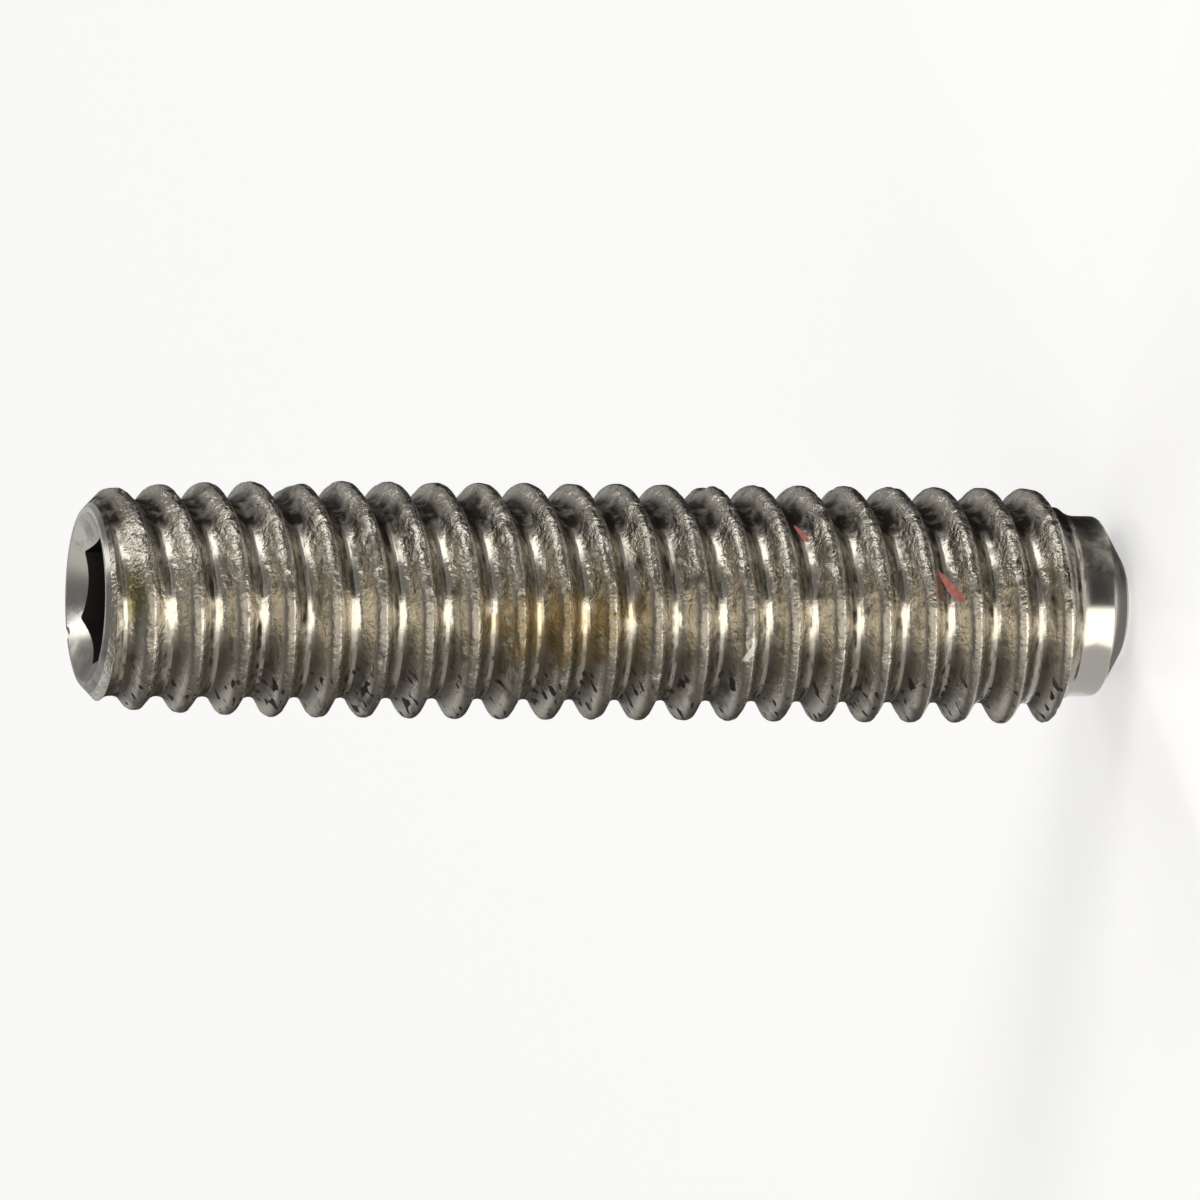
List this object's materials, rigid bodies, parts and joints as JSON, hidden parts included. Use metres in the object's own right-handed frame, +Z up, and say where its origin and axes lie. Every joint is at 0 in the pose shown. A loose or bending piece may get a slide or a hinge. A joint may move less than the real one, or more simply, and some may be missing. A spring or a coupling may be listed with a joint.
{
  "type": "grub set screw",
  "caption": "Headless set screw with a full-length right-hand thread, a hexagon socket in one end and a chamfered flat point on the other.",
  "frame": {"origin": "centre of the point's flat face, on which the screw stands", "axes": "+Z up the screw's axis, from the point to the hexagon socket; a crest of the thread crosses +X at each whole pitch above the origin"},
  "size_m": [0.0064, 0.0064, 0.0286],
  "materials": {
    "stainless": "rolled 18-8 stainless steel, worn and lightly stained, with a smooth point and socket mouth"
  },
  "bodies": {
    "root": {"set_screw": "stainless"}
  },
  "joints": []
}
